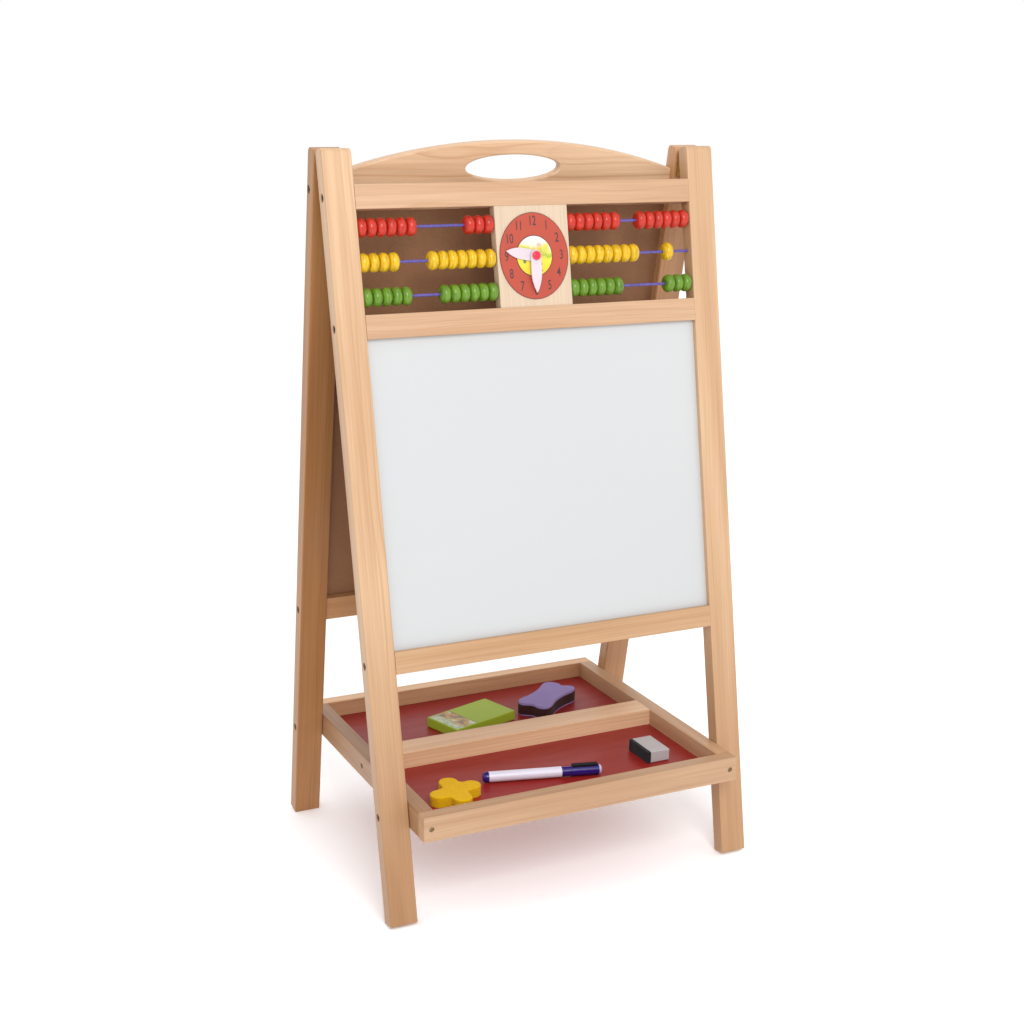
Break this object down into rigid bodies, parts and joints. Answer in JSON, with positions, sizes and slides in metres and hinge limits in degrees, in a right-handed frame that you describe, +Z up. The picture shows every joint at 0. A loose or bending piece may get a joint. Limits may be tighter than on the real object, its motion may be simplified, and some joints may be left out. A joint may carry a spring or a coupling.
{
  "type": "kids easel",
  "caption": "Folding A-frame kids easel in pale wood with a whiteboard, a chalkboard, a bead abacus, a toy clock and a divided tray that holds drawing tools.",
  "frame": {"origin": "middle of the footprint box on the floor", "axes": "+X across the width, to the right of someone who faces the whiteboard; +Y from the whiteboard side to the chalkboard side; +Z up"},
  "size_m": [0.456, 0.3704, 0.8076],
  "materials": {
    "pine_legs": "satin",
    "pine_rails": "satin",
    "pine_tray": "satin",
    "clock_wood": "satin",
    "whiteboard_face": "gloss",
    "hardboard": "matte",
    "chalk_black": "matte",
    "tray_red": "satin",
    "bolt_steel": "satin",
    "screw_steel": "satin",
    "hinge_metal": "satin",
    "rod_violet": "satin",
    "dial_red": "satin",
    "dial_picture": "satin",
    "cap_red": "gloss",
    "hand_lilac": "satin",
    "bead_red": "satin",
    "bead_yellow": "satin",
    "bead_green": "satin",
    "carton_green": "matte",
    "foam_lilac": "matte",
    "felt_dark": "matte",
    "sponge_yellow": "matte",
    "marker_white": "gloss",
    "marker_blue": "gloss",
    "marker_pale": "gloss",
    "marker_pad": "matte",
    "eraser_white": "matte",
    "felt_black": "matte"
  },
  "bodies": {
    "front_frame": {"front_leg_left": "pine_legs", "front_leg_right": "pine_legs", "front_top_rail": "pine_rails", "front_middle_rail": "pine_rails", "front_bottom_rail": "pine_rails", "whiteboard": "whiteboard_face", "front_frame_bolts": "bolt_steel", "tray_pivot_bolts": "bolt_steel", "abacus_rods": "rod_violet", "clock_block": "clock_wood", "clock_dial": "dial_red", "clock_picture": "dial_picture", "clock_spindle": "cap_red", "hinge_leaves_front": "hinge_metal", "hinge_screws_front": "screw_steel"},
    "rear_frame": {"rear_leg_left": "pine_legs", "rear_leg_right": "pine_legs", "handle_board": "pine_rails", "rear_bottom_rail": "pine_rails", "chalkboard": "hardboard", "chalk_surface": "chalk_black", "rear_frame_bolts": "bolt_steel", "rear_tray_bolts": "bolt_steel", "hinge_leaves_rear": "hinge_metal", "hinge_pins": "hinge_metal", "hinge_screws_rear": "screw_steel"},
    "tray": {"tray_side_left": "pine_tray", "tray_side_right": "pine_tray", "tray_front_rail": "pine_tray", "tray_rear_rail": "pine_tray", "tray_middle_rail": "pine_tray", "tray_panel_front": "tray_red", "tray_panel_rear": "tray_red", "tray_screws": "screw_steel"},
    "hour_hand": {"clock_hour_hand": "hand_lilac"},
    "minute_hand": {"clock_minute_hand": "hand_lilac"},
    "red_beads_far_left": {"beads_red_far_left": "bead_red"},
    "red_beads_mid_left": {"beads_red_mid_left": "bead_red"},
    "red_beads_mid_right": {"beads_red_mid_right": "bead_red"},
    "red_beads_far_right": {"beads_red_far_right": "bead_red"},
    "yellow_beads_far_left": {"beads_yellow_far_left": "bead_yellow"},
    "yellow_beads_mid_left": {"beads_yellow_mid_left": "bead_yellow"},
    "yellow_beads_mid_right": {"beads_yellow_mid_right": "bead_yellow"},
    "yellow_beads_far_right": {"beads_yellow_far_right": "bead_yellow"},
    "green_beads_far_left": {"beads_green_far_left": "bead_green"},
    "green_beads_mid_left": {"beads_green_mid_left": "bead_green"},
    "green_beads_mid_right": {"beads_green_mid_right": "bead_green"},
    "green_beads_far_right": {"beads_green_far_right": "bead_green"},
    "chalk_carton": {"chalk_carton": "carton_green"},
    "felt_eraser": {"felt_eraser_foot": "foam_lilac", "felt_eraser_felt": "felt_dark", "felt_eraser_top": "foam_lilac"},
    "sponge": {"sponge": "sponge_yellow"},
    "marker": {"marker_plug": "marker_blue", "marker_barrel": "marker_white"},
    "board_eraser": {"board_eraser_body": "eraser_white", "board_eraser_felt": "felt_black"},
    "marker_cap": {"marker_cap": "marker_blue", "marker_cap_end": "marker_pale", "marker_cap_pad": "marker_pad"}
  },
  "joints": [
    {"name": "rear_frame_fold", "type": "hinge", "parent": "front_frame", "child": "rear_frame", "pos_m": [0, 0.00525, 0.7956], "axis": [-1, 0, 0], "range_deg": [0, 21.6]},
    {"name": "tray_swing", "type": "hinge", "parent": "front_frame", "child": "tray", "pos_m": [0, -0.13468, 0.1215], "axis": [-1, 0, 0], "range_deg": [0, 100.8]},
    {"name": "hour_hand_turn", "type": "hinge", "parent": "front_frame", "child": "hour_hand", "pos_m": [0, -0.03623, 0.69198], "axis": [0, 0.9823, -0.1874], "continuous": true},
    {"name": "minute_hand_turn", "type": "hinge", "parent": "front_frame", "child": "minute_hand", "pos_m": [0, -0.03839, 0.6924], "axis": [0, 0.9823, -0.1874], "continuous": true},
    {"name": "red_beads_far_left_slide", "type": "slide", "parent": "front_frame", "child": "red_beads_far_left", "axis": [1, 0, 0], "range_m": [0, 0.0546]},
    {"name": "red_beads_mid_left_slide", "type": "slide", "parent": "front_frame", "child": "red_beads_mid_left", "axis": [1, 0, 0], "range_m": [-0.0546, 0]},
    {"name": "red_beads_mid_right_slide", "type": "slide", "parent": "front_frame", "child": "red_beads_mid_right", "axis": [1, 0, 0], "range_m": [0, 0.0219]},
    {"name": "red_beads_far_right_slide", "type": "slide", "parent": "front_frame", "child": "red_beads_far_right", "axis": [1, 0, 0], "range_m": [-0.0219, 0]},
    {"name": "yellow_beads_far_left_slide", "type": "slide", "parent": "front_frame", "child": "yellow_beads_far_left", "axis": [1, 0, 0], "range_m": [0, 0.0328]},
    {"name": "yellow_beads_mid_left_slide", "type": "slide", "parent": "front_frame", "child": "yellow_beads_mid_left", "axis": [1, 0, 0], "range_m": [-0.0328, 0]},
    {"name": "yellow_beads_mid_right_slide", "type": "slide", "parent": "front_frame", "child": "yellow_beads_mid_right", "axis": [1, 0, 0], "range_m": [0, 0.0327]},
    {"name": "yellow_beads_far_right_slide", "type": "slide", "parent": "front_frame", "child": "yellow_beads_far_right", "axis": [1, 0, 0], "range_m": [-0.0327, 0.0219]},
    {"name": "green_beads_far_left_slide", "type": "slide", "parent": "front_frame", "child": "green_beads_far_left", "axis": [1, 0, 0], "range_m": [0, 0.0328]},
    {"name": "green_beads_mid_left_slide", "type": "slide", "parent": "front_frame", "child": "green_beads_mid_left", "axis": [1, 0, 0], "range_m": [-0.0328, 0]},
    {"name": "green_beads_mid_right_slide", "type": "slide", "parent": "front_frame", "child": "green_beads_mid_right", "axis": [1, 0, 0], "range_m": [0, 0.0546]},
    {"name": "green_beads_far_right_slide", "type": "slide", "parent": "front_frame", "child": "green_beads_far_right", "axis": [1, 0, 0], "range_m": [-0.0546, 0]},
    {"name": "chalk_carton_lift", "type": "slide", "parent": "tray", "child": "chalk_carton", "axis": [0, 0, 1], "range_m": [0, 0.1]},
    {"name": "felt_eraser_lift", "type": "slide", "parent": "tray", "child": "felt_eraser", "axis": [0, 0, 1], "range_m": [0, 0.1]},
    {"name": "sponge_lift", "type": "slide", "parent": "tray", "child": "sponge", "axis": [0, 0, 1], "range_m": [0, 0.1]},
    {"name": "marker_lift", "type": "slide", "parent": "tray", "child": "marker", "axis": [0, 0, 1], "range_m": [0, 0.1]},
    {"name": "board_eraser_lift", "type": "slide", "parent": "tray", "child": "board_eraser", "axis": [0, 0, 1], "range_m": [0, 0.1]},
    {"name": "marker_cap_pull", "type": "slide", "parent": "marker", "child": "marker_cap", "axis": [0.9681, -0.2504, 0], "range_m": [0, 0.045]}
  ],
  "couplings": [
    {"joint": "tray_swing", "follows": "rear_frame_fold", "ratio": 4.6667}
  ]
}
